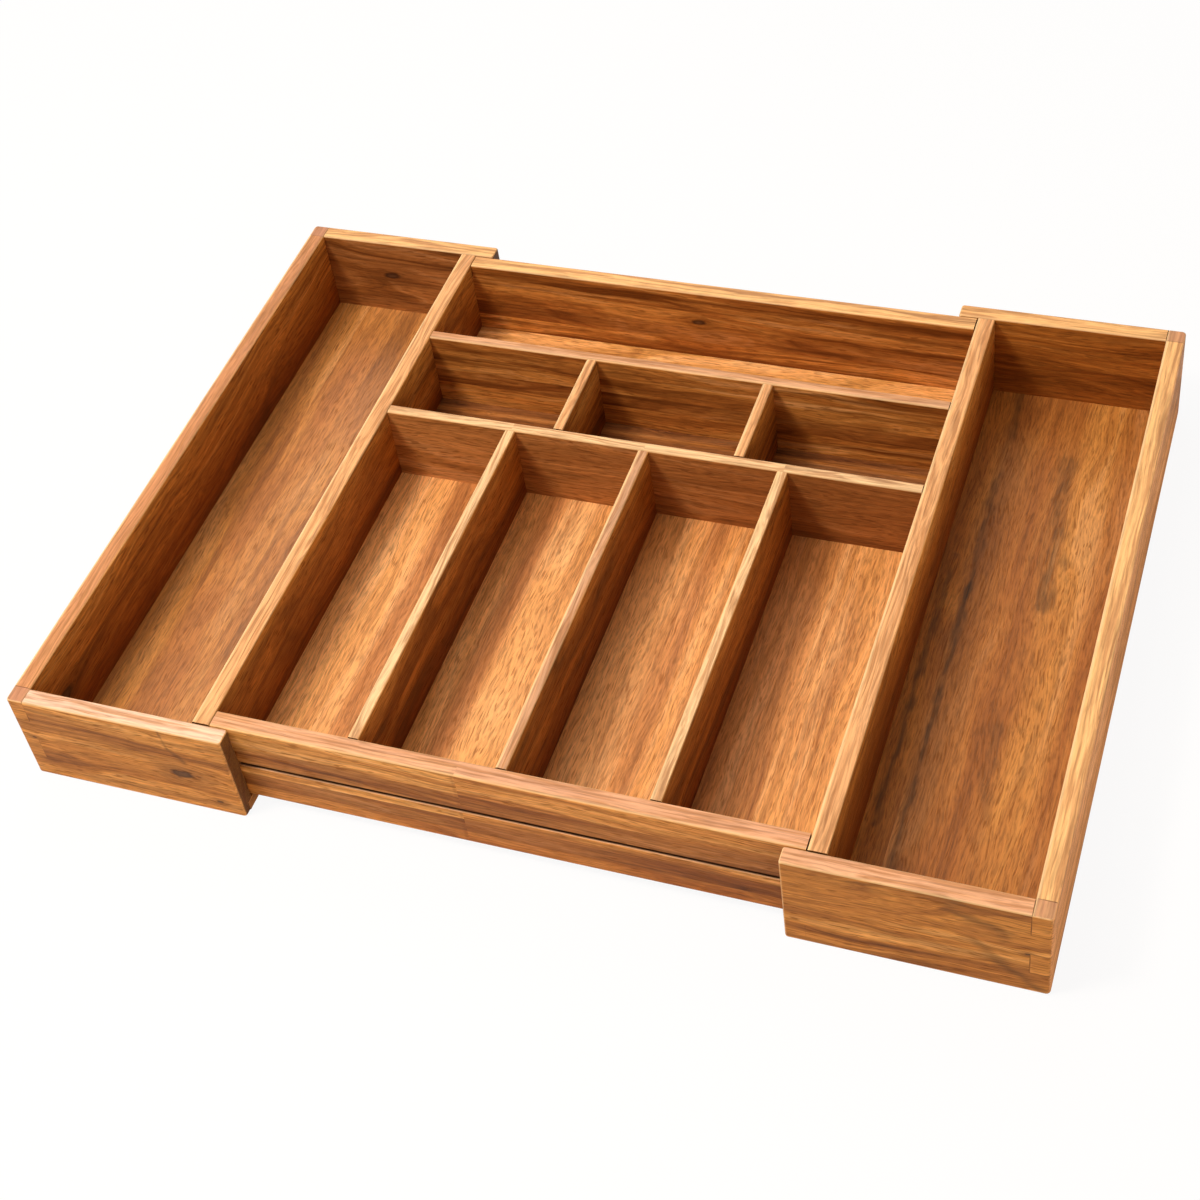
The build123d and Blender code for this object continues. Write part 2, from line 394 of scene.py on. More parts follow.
def stain_mask(nodes, local, start, end, width, depth):
    """How dark the wood is round a stretch between two points of the board's space."""
    run = Vector(end) - Vector(start)
    wavy = pushed(nodes, local, BEND, BEND_SHARE * width)
    spot = add(nodes, "VectorMath", {"Vector": wavy, "Vector_001": start},
               operation="SUBTRACT")
    reach = add(nodes, "VectorMath", {"Vector": spot, "Vector_001": run},
                operation="DOT_PRODUCT")
    reach = add(nodes, "MapRange", {"Value": reach.outputs["Value"],
                                    "From Max": run.length_squared})
    nearest = add(nodes, "VectorMath", {"Vector": run, "Scale": reach}, operation="SCALE")
    gap = add(nodes, "VectorMath", {"Vector": spot, "Vector_001": nearest},
              operation="DISTANCE")
    fray = add(nodes, "TexNoise", {"Vector": stretched(nodes, local, FRAY), "Scale": 1.0,
                                   "Detail": 2.0})
    gap = add(nodes, "Math", {"Value": fray.outputs["Fac"], "Value_001": FRAY_SHARE * width,
                              "Value_002": gap.outputs["Value"]}, operation="MULTIPLY_ADD")
    full, gone = (share * width for share in STAIN_FADE)
    return add(nodes, "MapRange", {"Value": gap, "From Min": gone, "From Max": full,
                                   "To Min": 0.0, "To Max": depth},
               interpolation_type="SMOOTHSTEP")


# %% [markdown]
# ### Growth rings and stains
#
# The distance from the heart, in ring widths, goes into a noise that turns it into dark late wood
# and pale early wood. The trunk tapers, so the distance grows a little along the board, and that
# is what closes the arches. The noise also drifts slowly along the grain, so no line runs on
# unchanged for the whole board. Long dark streaks are minerals that rose in the trunk.

# %% Rings and stains
TONES = {
    "warm": ("#6E3C12", "#A8692A", "#C8853A", "#DEA056"),
    "golden": ("#7E4818", "#C07E3C", "#DC9C50", "#F0B674"),
    "pale": ("#985A2A", "#DC9C56", "#F2B06E", "#FEC88C"),
    "brown": ("#74441E", "#B2783E", "#D09456", "#E6B27A"),
    "fawn": ("#7C4C28", "#BC8048", "#DA985E", "#ECB680"),
    "dark": ("#5A300C", "#96591E", "#B6732E", "#CE8E44"),
}
TONE_STOPS = (0.26, 0.43, 0.56, 0.72)
FINE_RINGS = dict(width=3.0, detail=5.0)
CLOUDY_RINGS = dict(width=9.0, detail=2.0)
RING_ROUGHNESS = 0.62
RING_RUN = 240
TAPER = 0.02
STREAK = (260, 7, 7)
STREAK_ROUGHNESS = 0.55
STREAK_RANGE = (0.50, 0.72)


def growth_rings(nodes, vector, tones, stain, figure_share, cloudy):
    """The colour of the wood before its fibres and pores. The figure's share says how strongly
    the rings show against the wood's middle tone, and cloudy wood has wide, soft ones."""
    kind = CLOUDY_RINGS if cloudy else FINE_RINGS
    colours = [linear(tone) for tone in TONES[tones]]
    deep, _, tan, _ = colours
    cross = add(nodes, "VectorMath", {"Vector": vector, "Vector_001": (0, 1, 1)},
                operation="MULTIPLY")
    radius = add(nodes, "VectorMath", {"Vector": cross}, operation="LENGTH")
    split = add(nodes, "SeparateXYZ", {"Vector": vector})
    taper = add(nodes, "Math", {"Value": split.outputs["X"], "Value_001": TAPER,
                                "Value_002": radius.outputs["Value"]}, operation="MULTIPLY_ADD")
    ring = add(nodes, "Math", {"Value": taper, "Value_001": kind["width"]}, operation="DIVIDE")
    drift = add(nodes, "Math", {"Value": split.outputs["X"], "Value_001": RING_RUN},
                operation="DIVIDE")
    flat = add(nodes, "CombineXYZ", {"X": ring, "Y": drift})
    rings = add(nodes, "TexNoise", {"Vector": flat, "Scale": 1.0, "Detail": kind["detail"],
                                    "Roughness": RING_ROUGHNESS}, noise_dimensions="2D")
    figure = add(nodes, "ValToRGB", {"Fac": rings.outputs["Fac"]},
                 stops=list(zip(TONE_STOPS, colours)))
    figure = add(nodes, "Mix", {"Factor": figure_share, "A": tan, "B": figure},
                 data_type="RGBA")
    streak = add(nodes, "TexNoise", {"Vector": stretched(nodes, vector, STREAK), "Scale": 1.0,
                                     "Detail": 3.0, "Roughness": STREAK_ROUGHNESS})
    share = add(nodes, "MapRange", {"Value": streak.outputs["Fac"],
                                    "From Min": STREAK_RANGE[0], "From Max": STREAK_RANGE[1],
                                    "To Min": 0.0, "To Max": stain})
    return add(nodes, "Mix", {"Factor": share, "A": figure, "B": deep}, data_type="RGBA")


# %% [markdown]
# ### Faces, tops and arrises
#
# A board shows three kinds of surface. Its faces keep their colour. Its top edge is painted paler,
# a painted sheen that stands in for the light that falls on it. Its arrises, the rounded corners
# between two faces, are palest of all: partly paler sanded wood and partly a painted highlight,
# which is weaker on upright ones than on level ones, and weaker on the right of a board than on
# its left, which faces the main lamp. A surface's kind is read from its normal: on an arris no
# part of the normal is close to one. Ends cut across the grain are darker, because they soak up
# more oil.

# %% Facing masks
TOP_NORMAL = (0.75, 0.95)
END_NORMAL = (0.8, 0.95)
ARRIS_NORMAL = (0.82, 0.97)
LEVEL_NORMAL = 0.4
UPRIGHT_SHARE = 0.35
LEAN_NORMAL = 0.5
RIGHT_SHARE = 0.3


def facing_masks(nodes, place, grain):
    """A point's normal with its signs removed, and how far the point belongs to a top, to an
    arris and to an end cut across the grain."""
    facing = add(nodes, "VectorMath", {"Vector": place.outputs["Normal"]}, operation="ABSOLUTE")
    sides = add(nodes, "SeparateXYZ", {"Vector": facing})
    top = add(nodes, "MapRange", {"Value": sides.outputs["Z"], "From Min": TOP_NORMAL[0],
                                  "From Max": TOP_NORMAL[1]})
    most = add(nodes, "Math", {"Value": sides.outputs["X"], "Value_001": sides.outputs["Y"]},
               operation="MAXIMUM")
    most = add(nodes, "Math", {"Value": most, "Value_001": sides.outputs["Z"]},
               operation="MAXIMUM")
    arris = add(nodes, "MapRange", {"Value": most, "From Min": ARRIS_NORMAL[1],
                                    "From Max": ARRIS_NORMAL[0]})
    # Painted highlight on the arrises: stronger where they face up, and where they face left,
    # towards the main lamp.
    lamp_facing = add(nodes, "MapRange", {"Value": sides.outputs["Z"], "From Max": LEVEL_NORMAL,
                                     "To Min": UPRIGHT_SHARE, "To Max": 1.0})
    arris = add(nodes, "Math", {"Value": arris, "Value_001": lamp_facing}, operation="MULTIPLY")
    towards = add(nodes, "SeparateXYZ", {"Vector": place.outputs["Normal"]})
    lamp_facing = add(nodes, "MapRange", {"Value": towards.outputs["X"], "From Min": -LEAN_NORMAL,
                                     "From Max": LEAN_NORMAL, "To Min": 1.0,
                                     "To Max": RIGHT_SHARE})
    arris = add(nodes, "Math", {"Value": arris, "Value_001": lamp_facing}, operation="MULTIPLY")
    end = add(nodes, "MapRange", {"Value": sides.outputs[grain], "From Min": END_NORMAL[0],
                                  "From Max": END_NORMAL[1]})
    return sides, top, arris, end


# %% [markdown]
# ### Fibres and pores
#
# Close up, the wood is combed by short bundles of fibres and by long fine lines, and the plane
# has cut pores open into dark dashes. All of them darken the wood more than they brighten it. The
# real bundles are about 0.5 mm wide and the real pores 0.2 mm, which is finer than a pixel of the
# picture, where they would melt into one flat tone. So the bundles are drawn twice as wide as
# they are and the pores four times. All are solid patterns: on an end they turn into dots. The
# floors, sawn near the middle of the trunk, show most short bundles, the walls most long lines.

# %% Fibres and pores
FIBRE = (10, 1.0, 1.0)
FIBRE_WAVE = (16, 6, 6)
FIBRE_WAVE_DEPTH = 0.5
COMB = (90, 1.2, 1.2)
PORE = (9, 0.8, 0.8)
WALL_DEPTHS = (0.22, 0.26)
FLOOR_DEPTHS = (0.34, 0.14)
TOP_DEPTHS = (0.10, 0.26)
WAVE_RANGE = (0.3, 0.58)
BRIGHTEST = 0.4
PORE_RANGE = (0.62, 0.74)
PORE_ON_FACES = 0.6
PORE_ON_TOPS = 0.12


def fibres_and_pores(nodes, vector, wood, deep, top, depths):
    """The wood's colour combed by fibres and pores, and the height that they leave. Depths say
    how much the bundles and the lines darken the faces."""
    vector = pushed(nodes, vector, FIBRE_WAVE, FIBRE_WAVE_DEPTH)
    fibre = add(nodes, "TexNoise", {"Vector": stretched(nodes, vector, FIBRE), "Scale": 1.0,
                                    "Detail": 2.0, "Roughness": 0.6})
    comb = add(nodes, "TexNoise", {"Vector": stretched(nodes, vector, COMB), "Scale": 1.0,
                                   "Detail": 2.0})
    for pattern, on_faces, on_tops in zip((fibre, comb), depths, TOP_DEPTHS):
        depth = add(nodes, "MapRange", {"Value": top, "To Min": on_faces, "To Max": on_tops})
        wave = add(nodes, "MapRange", {"Value": pattern.outputs["Fac"],
                                       "From Min": WAVE_RANGE[0], "From Max": WAVE_RANGE[1],
                                       "To Min": -1.0, "To Max": BRIGHTEST})
        tone = add(nodes, "Math", {"Value": wave, "Value_001": depth, "Value_002": 1.0},
                   operation="MULTIPLY_ADD")
        wood = add(nodes, "VectorMath", {"Vector": wood, "Scale": tone}, operation="SCALE")
    pore = add(nodes, "TexNoise", {"Vector": stretched(nodes, vector, PORE), "Scale": 1.0,
                                   "Detail": 0.0})
    dash = add(nodes, "MapRange", {"Value": pore.outputs["Fac"], "From Min": PORE_RANGE[0],
                                   "From Max": PORE_RANGE[1]})
    shown = add(nodes, "MapRange", {"Value": top, "To Min": PORE_ON_FACES,
                                    "To Max": PORE_ON_TOPS})
    shown = add(nodes, "Math", {"Value": dash, "Value_001": shown}, operation="MULTIPLY")
    wood = add(nodes, "Mix", {"Factor": shown, "A": wood, "B": deep}, data_type="RGBA")
    height = add(nodes, "Math", {"Value": fibre.outputs["Fac"], "Value_001": dash},
                 operation="SUBTRACT")
    return wood, height


# %% [markdown]
# ### The finger joints
#
# The outer boards meet in finger joints. Four fingers share the height of a corner, the side
# board takes the first and third from the top, and the rail takes the others. The joints are so
# tight that only a dark hairline of glue shows, in patches. It is drawn from the joint's own
# sizes: upright where one board's finger stops against the other, level between the fingers, and
# as a small square on top, where the side board's finger ends in rougher grain. The ends of the
# fingers were sanded flush and oiled with the board that they meet, and look like part of it, so
# below the top their arrises aren't pale either.

# %% Joint lines
_, rail_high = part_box("left_front_rail")
side_low, side_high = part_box("left_side_board")
TRAY_HEIGHT = MM * side_high.z
FINGERS = 4
FINGER = TRAY_HEIGHT / FINGERS
SIDE_INNER = -MM * side_high.x
RAIL_INNER = -MM * rail_high.y
CORNER_TOP = 4
FACING = 0.7
HAIRLINE = 0.28
LINE_PATCHES = 90
LINE_RANGE = (0.4, 0.6)
LINE_SHARES = (0.15, 0.8)
LINE_TONE = "#4A2410"
SQUARE_SHARE = 0.7
SQUARE_TONE = "#BA866A"
print("Fingers are", round(FINGER, 2), "mm high; joints at x", round(SIDE_INNER, 1),
      "and y", round(RAIL_INNER, 1))


def corner_zone(nodes, place):
    """How far a point lies from the tray's middle, and whether it is past the inner face of the
    side board, of the rail, and of both."""
    spot = from_middle(nodes, place)
    past_side = add(nodes, "Math", {"Value": spot.outputs["X"], "Value_001": SIDE_INNER},
                    operation="GREATER_THAN")
    past_rail = add(nodes, "Math", {"Value": spot.outputs["Y"], "Value_001": RAIL_INNER},
                    operation="GREATER_THAN")
    past_both = add(nodes, "Math", {"Value": past_side, "Value_001": past_rail},
                    operation="MULTIPLY")
    return spot, past_side, past_rail, past_both


def finger_ends(nodes, local, sides, grain, past_both):
    """Whether a point is on the end of a finger, and the board space, turned there so that the
    grain runs as in the board that the finger meets."""
    sawn = add(nodes, "Math", {"Value": sides.outputs[grain], "Value_001": FACING},
               operation="GREATER_THAN")
    finger = add(nodes, "Math", {"Value": sawn, "Value_001": past_both}, operation="MULTIPLY")
    across = add(nodes, "Mapping", {"Vector": local, "Rotation": (0, 0, math.pi / 2)},
                 vector_type="POINT")
    grown = add(nodes, "Mix", {"Factor": finger, "A": local, "B": across}, data_type="VECTOR")
    return finger, grown


def joint_lines(nodes, place, corner, sides, wood):
    """The wood with the glue lines and the end-grain square of the corner joints."""
    spot, past_side, past_rail, past_both = corner
    at_side = add(nodes, "Math", {"Value": spot.outputs["X"], "Value_001": SIDE_INNER,
                                  "Value_002": HAIRLINE}, operation="COMPARE")
    at_rail = add(nodes, "Math", {"Value": spot.outputs["Y"], "Value_001": RAIL_INNER,
                                  "Value_002": HAIRLINE}, operation="COMPARE")
    wave = add(nodes, "Math", {"Value": spot.outputs["Z"], "Value_001": FINGER / 2},
               operation="PINGPONG")
    at_finger = add(nodes, "Math", {"Value": wave, "Value_001": HAIRLINE}, operation="LESS_THAN")
    level = add(nodes, "Math", {"Value": spot.outputs["Z"], "Value_001": 2 * FINGER},
                operation="MODULO")
    side_finger = add(nodes, "Math", {"Value": level, "Value_001": FINGER},
                      operation="GREATER_THAN")
    rail_finger = add(nodes, "Math", {"Value": 1.0, "Value_001": side_finger},
                      operation="SUBTRACT")
    total = None
    for axis, upright, owner, past in (("Y", at_side, side_finger, past_side),
                                       ("X", at_rail, rail_finger, past_rail)):
        faces = add(nodes, "Math", {"Value": sides.outputs[axis], "Value_001": FACING},
                    operation="GREATER_THAN")
        stop = add(nodes, "Math", {"Value": upright, "Value_001": owner}, operation="MULTIPLY")
        shelf = add(nodes, "Math", {"Value": at_finger, "Value_001": past}, operation="MULTIPLY")
        either = add(nodes, "Math", {"Value": stop, "Value_001": shelf}, operation="MAXIMUM")
        line = add(nodes, "Math", {"Value": either, "Value_001": faces}, operation="MULTIPLY")
        total = add(nodes, "Math", {"Value": line, "Value_001": total or 0.0},
                    operation="MAXIMUM")
    upward = add(nodes, "Math", {"Value": sides.outputs["Z"], "Value_001": FACING},
                 operation="GREATER_THAN")
    across = add(nodes, "Math", {"Value": at_side, "Value_001": past_rail}, operation="MULTIPLY")
    along = add(nodes, "Math", {"Value": at_rail, "Value_001": past_side}, operation="MULTIPLY")
    either = add(nodes, "Math", {"Value": across, "Value_001": along}, operation="MAXIMUM")
    line = add(nodes, "Math", {"Value": either, "Value_001": upward}, operation="MULTIPLY")
    total = add(nodes, "Math", {"Value": line, "Value_001": total}, operation="MAXIMUM")

    square = add(nodes, "Math", {"Value": past_both, "Value_001": upward}, operation="MULTIPLY")
    square = add(nodes, "Math", {"Value": square, "Value_001": SQUARE_SHARE},
                 operation="MULTIPLY")
    wood = add(nodes, "Mix", {"Factor": square, "A": wood, "B": linear(SQUARE_TONE)},
               data_type="RGBA")
    patchy = add(nodes, "TexNoise", {"Vector": place.outputs["Object"], "Scale": LINE_PATCHES})
    shown = add(nodes, "MapRange", {"Value": patchy.outputs["Fac"],
                                    "From Min": LINE_RANGE[0], "From Max": LINE_RANGE[1],
                                    "To Min": LINE_SHARES[0], "To Max": LINE_SHARES[1]})
    line = add(nodes, "Math", {"Value": total, "Value_001": shown}, operation="MULTIPLY")
    return add(nodes, "Mix", {"Factor": line, "A": wood, "B": linear(LINE_TONE)},
               data_type="RGBA")


# %% [markdown]
# The guides of the side trays run in a groove in the centre tray's front and back walls. Its
# inside is painted nearly black, a painted shade for the shadow in the groove.

# %% Groove
groove_low, groove_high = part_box("left_front_guide")
wall_low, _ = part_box("centre_front_wall")
GROOVE_MARGIN = 0.6
GROOVE_MIDDLE = MM * (groove_low.z + groove_high.z) / 2
GROOVE_HALF = MM * (groove_high.z - groove_low.z) / 2 + GROOVE_MARGIN
GROOVE_MOUTH = -MM * wall_low.y
GROOVE_DEPTH = 4.2
GROOVE_SHADE_RANGE = (0.3, 1.2)
GROOVE_SHADE_SHARE = 0.9
GROOVE_SHADE_TONE = "#241008"
print("Groove runs at", round(GROOVE_MIDDLE, 1), "mm above the table")


def painted_groove_shade(nodes, place, wood):
    """The wood with painted shade inside the groove."""
    spot = from_middle(nodes, place)
    level = add(nodes, "Math", {"Value": spot.outputs["Z"], "Value_001": GROOVE_MIDDLE,
                                "Value_002": GROOVE_HALF}, operation="COMPARE")
    depth = add(nodes, "Math", {"Value": GROOVE_MOUTH, "Value_001": spot.outputs["Y"]},
                operation="SUBTRACT")
    inside = add(nodes, "MapRange", {"Value": depth, "From Min": GROOVE_SHADE_RANGE[0],
                                     "From Max": GROOVE_SHADE_RANGE[1]})
    bottom = add(nodes, "Math", {"Value": depth, "Value_001": GROOVE_DEPTH},
                 operation="LESS_THAN")
    groove_shade = GROOVE_SHADE_SHARE
    for mask in (level, inside, bottom):
        groove_shade = add(nodes, "Math", {"Value": groove_shade, "Value_001": mask}, operation="MULTIPLY")
    return add(nodes, "Mix", {"Factor": groove_shade, "A": wood, "B": linear(GROOVE_SHADE_TONE)},
               data_type="RGBA")


# %% [markdown]
# Inside the tray the long walls darken softly towards the floor. This is painted shade, standing
# in for the shadow that gathers where the walls meet the floors.

# %% Painted shade towards the floor
HALF_WIDTH = -MM * side_low.x
OUTER_SKIN = 1
LOW_SHADE_HEIGHTS = (12, 44)
LOW_SHADE_TONE = "#C0A080"


def painted_shade_near_floor(nodes, place, wood):
    """The wood with painted shade towards the floor, apart from the outer faces of the tray."""
    spot = from_middle(nodes, place)
    inside = add(nodes, "Math", {"Value": spot.outputs["X"],
                                 "Value_001": HALF_WIDTH - OUTER_SKIN}, operation="LESS_THAN")
    between = add(nodes, "Math", {"Value": spot.outputs["Y"], "Value_001": RAIL_INNER},
                  operation="LESS_THAN")
    inside = add(nodes, "Math", {"Value": inside, "Value_001": between}, operation="MULTIPLY")
    low = add(nodes, "MapRange", {"Value": spot.outputs["Z"], "From Min": LOW_SHADE_HEIGHTS[1],
                                  "From Max": LOW_SHADE_HEIGHTS[0]}, interpolation_type="SMOOTHSTEP")
    share = add(nodes, "Math", {"Value": inside, "Value_001": low}, operation="MULTIPLY")
    return add(nodes, "Mix", {"Factor": share, "A": wood, "B": linear(LOW_SHADE_TONE)},
               data_type="RGBA", blend_type="MULTIPLY")


# %% [markdown]
# ### Putting the wood together
#
# The finish is a satin oil. It is rougher where pores lie open, and the light reflects off it
# only weakly, so the walls keep their deep colour while the flat floors and tops show a sheen.
# On a top, a thin pale line is painted along the left or front side, a painted highlight where the
# main lamp catches it, and pinkish brown streaks show the more, the further they lie from it.

# %% Tops
TOP_SHARE = 0.80
TOP_STREAK = (50, 2.1, 2.1)
TOP_STREAK_RANGE = (0.52, 0.66)
TOP_STREAK_SHARE = 0.7
TOP_STREAK_TONE = "#B07A50"
TOP_LEAN = 0.12
HIGHLIGHT_LINE = (1.1, 1.9)
HIGHLIGHT_SHARE = {"X": 0.3, "Y": 0.9}
ARRIS_TONE = "#FFDCA6"


def top_colour(nodes, vector, local, size, grain, top):
    """The colour of a board's top: painted pale as a sheen, streaked, and with a painted highlight
    along its left or front side, which faces the main lamp.
    """
    split = add(nodes, "SeparateXYZ", {"Vector": local})
    inset = add(nodes, "Math", {"Value": split.outputs["Y"], "Value_001": size["Y"] / 2},
                operation="ADD")
    streak = add(nodes, "TexNoise", {"Vector": stretched(nodes, vector, TOP_STREAK),
                                     "Scale": 1.0, "Detail": 3.0})
    streak = add(nodes, "Math", {"Value": inset, "Value_001": TOP_LEAN / size["Y"],
                                 "Value_002": streak.outputs["Fac"]}, operation="MULTIPLY_ADD")
    share = add(nodes, "MapRange", {"Value": streak, "From Min": TOP_STREAK_RANGE[0],
                                    "From Max": TOP_STREAK_RANGE[1],
                                    "To Max": TOP_STREAK_SHARE})
    wood = add(nodes, "Mix", {"Factor": share, "A": linear(top), "B": linear(TOP_STREAK_TONE)},
               data_type="RGBA")
    # Painted highlight: a pale line along the left or front side of the top, which faces the main
    # lamp.
    share = add(nodes, "MapRange", {"Value": inset, "From Min": HIGHLIGHT_LINE[0],
                                    "From Max": HIGHLIGHT_LINE[1], "To Min": HIGHLIGHT_SHARE[grain],
                                    "To Max": 0.0})
    return add(nodes, "Mix", {"Factor": share, "A": wood, "B": linear(ARRIS_TONE)},
               data_type="RGBA")


# %% A knot's core and the oiled surface
CORE_RANGE = (0.4, 0.65)
CORE_SHARE = 0.85
EYE_RANGE = (0.15, 0.38)
KNOT_EYE = "#543826"
KNOT_RING = "#34190B"
BUMP_STRENGTH = 0.35
BUMP_DEPTH = 0.0002
PORE_ROUGHNESS = 0.66
FIBRE_ROUGHNESS = 0.46
HEIGHT_RANGE = (-0.5, 0.7)
OIL_IOR = 1.47


def knot_core(nodes, distance, wood):
    """The wood with the middle of a knot, a brown eye in a nearly black ring."""
    ring = add(nodes, "MapRange", {"Value": distance, "From Min": EYE_RANGE[0],
                                   "From Max": EYE_RANGE[1]})
    eye = add(nodes, "Mix", {"Factor": ring, "A": linear(KNOT_EYE), "B": linear(KNOT_RING)},
              data_type="RGBA")
    core = add(nodes, "MapRange", {"Value": distance, "From Min": CORE_RANGE[1],
                                   "From Max": CORE_RANGE[0], "To Min": 0.0,
                                   "To Max": CORE_SHARE})
    return add(nodes, "Mix", {"Factor": core, "A": wood, "B": eye}, data_type="RGBA")


def oiled_surface(nodes, wood, height, gloss):
    """The shader of the oiled wood, from its colour and from the height of its fibres."""
    bump = add(nodes, "Bump", {"Height": height, "Strength": BUMP_STRENGTH,
                               "Distance": BUMP_DEPTH})
    roughness = add(nodes, "MapRange", {"Value": height, "From Min": HEIGHT_RANGE[0],
                                        "From Max": HEIGHT_RANGE[1], "To Min": PORE_ROUGHNESS,
                                        "To Max": FIBRE_ROUGHNESS})
    return add(nodes, "BsdfPrincipled", {"Base Color": wood, "Roughness": roughness,
                                         "Normal": bump, "IOR": OIL_IOR,
                                         "Specular IOR Level": gloss})


# %% Oiled acacia
GLUE_SHARE = 0.4
ARRIS_SHARE = 0.75
END_TONE = "#4E2E16"
END_SHARE = 0.85
HALO_RANGE = (0.5, 2.4)
HALO_SHARE = 0.55
FINGER_FIGURE = 0.4


def oiled_acacia(node, grain, tones, pith, cut, top=None, wander=7, stain=0.5, figure=1.0,
                 cloudy=False, strips=(), knots=(), stains=(), gloss=0.2, meets=None,
                 grooved=False):
    """Oiled acacia for one board. Pith is where the heart of the tree lay, across and above
    the board's centre, cut says how far along the trunk the board was taken, and meets names
    the tones of the board that its fingers are joined to."""
    material = bpy.data.materials.new(f"oiled_acacia_{node}")
    material.use_nodes = True
    nodes = material.node_tree
    nodes.nodes.clear()
    deep = linear(TONES[tones][0])
    place, local, size = board_space(nodes, node, grain)
    sides, top_mask, arris, end = facing_masks(nodes, place, grain)
    depths = WALL_DEPTHS if top else FLOOR_DEPTHS
    if not top:
        top_mask = 0.0

    grown = local
    if meets:
        corner = corner_zone(nodes, place)
        spot, _, _, past_both = corner
        finger, grown = finger_ends(nodes, local, sides, grain, past_both)
        end = add(nodes, "Math", {"Value": end, "Value_001": finger}, operation="SUBTRACT",
                  use_clamp=True)
        under = add(nodes, "Math", {"Value": spot.outputs["Z"],
                                    "Value_001": TRAY_HEIGHT - CORNER_TOP}, operation="LESS_THAN")
        under = add(nodes, "Math", {"Value": under, "Value_001": past_both},
                    operation="MULTIPLY")
        arris = add(nodes, "Math", {"Value": arris, "Value_001": under}, operation="SUBTRACT",
                    use_clamp=True)

    trunk_place = (cut, -pith[0], -pith[1])
    glued = []
    for row in strips:
        tint, glue, trunk_place = glued_strips(nodes, local, size, trunk_place, **row)
        glued.append((tint, glue))
    trunk = add(nodes, "VectorMath", {"Vector": grown, "Vector_001": trunk_place},
                operation="ADD")
    bent = pushed(nodes, pushed(nodes, trunk, SWAY, wander), RIPPLE, RIPPLE_DEPTH)
    cores = []
    for knot in knots:
        bent, distance = knot_space(nodes, local, bent, **knot)
        cores.append(distance)

    wood = growth_rings(nodes, bent, tones, stain, figure, cloudy)
    if meets:
        met = growth_rings(nodes, bent, meets, 0.0, FINGER_FIGURE, cloudy)
        wood = add(nodes, "Mix", {"Factor": finger, "A": wood, "B": met}, data_type="RGBA")
    for tint, glue in glued:
        wood = add(nodes, "Mix", {"Factor": 1.0, "A": wood, "B": tint}, data_type="RGBA",
                   blend_type="MULTIPLY")
        share = add(nodes, "Math", {"Value": glue, "Value_001": GLUE_SHARE},
                    operation="MULTIPLY")
        wood = add(nodes, "Mix", {"Factor": share, "A": wood, "B": deep}, data_type="RGBA")
    for facts in stains:
        mask = stain_mask(nodes, local, **facts)
        wood = add(nodes, "Mix", {"Factor": mask, "A": wood, "B": linear(STAIN_TONE)},
                   data_type="RGBA")
    for distance in cores:
        halo = add(nodes, "MapRange", {"Value": distance, "From Min": HALO_RANGE[1],
                                       "From Max": HALO_RANGE[0], "To Min": 0.0,
                                       "To Max": HALO_SHARE}, interpolation_type="SMOOTHSTEP")
        wood = add(nodes, "Mix", {"Factor": halo, "A": wood, "B": deep}, data_type="RGBA")
    # Painted sheen: the tops are painted paler, standing in for the light that falls on them.
    if top:
        share = add(nodes, "Math", {"Value": top_mask, "Value_001": TOP_SHARE},
                    operation="MULTIPLY")
        painted_top = top_colour(nodes, bent, local, size, grain, top)
        # Painted shade on the long walls, darker towards the floor.
        if grain == "Y":
            wood = painted_shade_near_floor(nodes, place, wood)
        wood = add(nodes, "Mix", {"Factor": share, "A": wood, "B": painted_top}, data_type="RGBA")
    share = add(nodes, "Math", {"Value": end, "Value_001": END_SHARE}, operation="MULTIPLY")
    wood = add(nodes, "Mix", {"Factor": share, "A": wood, "B": linear(END_TONE)},
               data_type="RGBA")
    if meets:
        wood = joint_lines(nodes, place, corner, sides, wood)
    if grooved:
        wood = painted_groove_shade(nodes, place, wood)
    wood, height = fibres_and_pores(nodes, bent, wood, deep, top_mask, depths)
    for distance in cores:
        wood = knot_core(nodes, distance, wood)
    # The arrises are paler: partly sanded wood, partly a painted highlight.
    share = add(nodes, "Math", {"Value": arris, "Value_001": ARRIS_SHARE}, operation="MULTIPLY")
    wood = add(nodes, "Mix", {"Factor": share, "A": wood, "B": linear(ARRIS_TONE)},
               data_type="RGBA")
    add(nodes, "OutputMaterial", {"Surface": oiled_surface(nodes, wood, height, gloss)})
    return material


# %% [markdown]
# ## The boards
#
# Each board now gets its own cut of wood. Tops lean towards pink or gold, as they do from tree
# to tree. The floors are glued from strips of different tone, which is what gives each
# compartment its own colour.

# %% Side trays
ROSE_TOP = "#FFD8C0"
PINK_TOP = "#F2BA94"
AMBER_TOP = "#F6BC86"
GOLD_TOP = "#FFCC8C"
CREAM_TOP = "#FFD8A6"
BROWN_TOP = "#D8A884"
RUSSET_TOP = "#CC9068"
TAWNY_TOP = "#E6B08E"
FAWN_TOP = "#E2B08A"
SHEEN = 0.6
SATIN = 0.3

